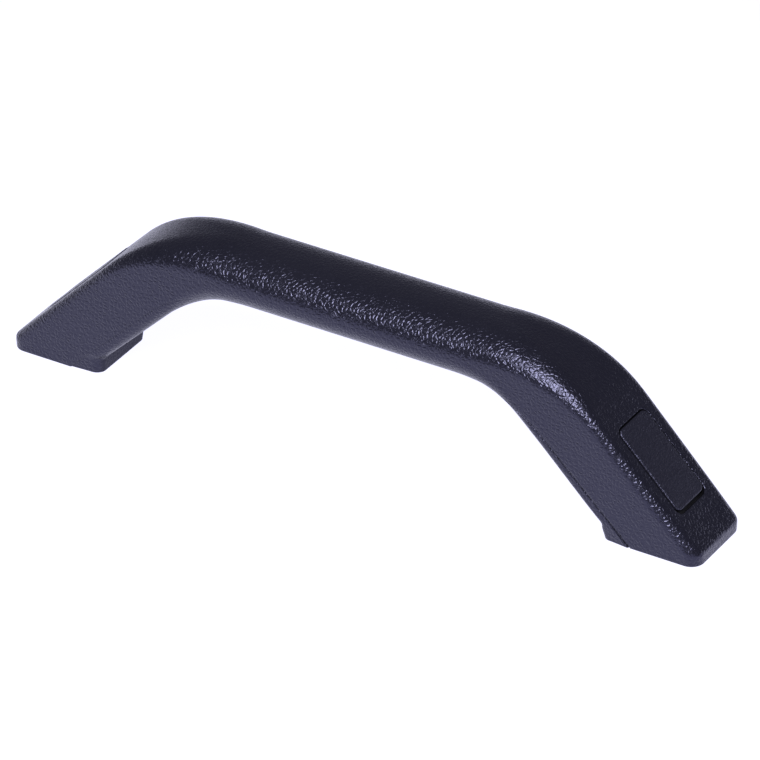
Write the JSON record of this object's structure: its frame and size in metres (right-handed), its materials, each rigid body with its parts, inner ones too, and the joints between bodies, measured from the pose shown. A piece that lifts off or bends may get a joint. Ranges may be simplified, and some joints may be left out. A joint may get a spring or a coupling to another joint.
{
  "type": "bolt-on grab handle",
  "caption": "Short bolt-on grab handle: soft moulded bar with splayed sloping legs, steel strap core, captive screws under snap-in covers, flat feet.",
  "frame": {"origin": "middle of the fixing face, midway between the two feet", "axes": "+X along the handle, +Z out of the fixing face towards the bar, +Y across the handle's width"},
  "size_m": [0.3, 0.036, 0.07],
  "materials": {
    "grained_soft_grip": "satin leather grain, blue-black",
    "grained_cover_plastic": "satin fine grain, blue-black",
    "liner_plastic": "matt black",
    "strap_steel": "rolled, phosphated",
    "zinc_steel": "bright zinc plate",
    "natural_nylon": "natural nylon"
  },
  "bodies": {
    "handle": {"grip_skin": "grained_soft_grip", "core_strap": "strap_steel", "right_foot_plate": "strap_steel", "left_foot_plate": "strap_steel", "right_pocket_liner": "liner_plastic", "left_pocket_liner": "liner_plastic", "right_screw_keeper": "natural_nylon", "left_screw_keeper": "natural_nylon"},
    "right_cover": {"right_screw_cover": "grained_cover_plastic"},
    "left_cover": {"left_screw_cover": "grained_cover_plastic"},
    "right_screw": {"right_mounting_screw": "zinc_steel", "right_spring_washer": "zinc_steel", "right_flat_washer": "zinc_steel"},
    "left_screw": {"left_mounting_screw": "zinc_steel", "left_spring_washer": "zinc_steel", "left_flat_washer": "zinc_steel"}
  },
  "joints": [
    {"name": "right_cover_lift", "type": "slide", "parent": "handle", "child": "right_cover", "axis": [0.7133, 0, 0.7009], "range_m": [0, 0.03]},
    {"name": "left_cover_lift", "type": "slide", "parent": "handle", "child": "left_cover", "axis": [-0.7133, 0, 0.7009], "range_m": [0, 0.03]},
    {"name": "right_screw_drive", "type": "slide", "parent": "handle", "child": "right_screw", "axis": [0, 0, -1], "range_m": [0, 0.0065]},
    {"name": "left_screw_drive", "type": "slide", "parent": "handle", "child": "left_screw", "axis": [0, 0, -1], "range_m": [0, 0.0065]}
  ]
}
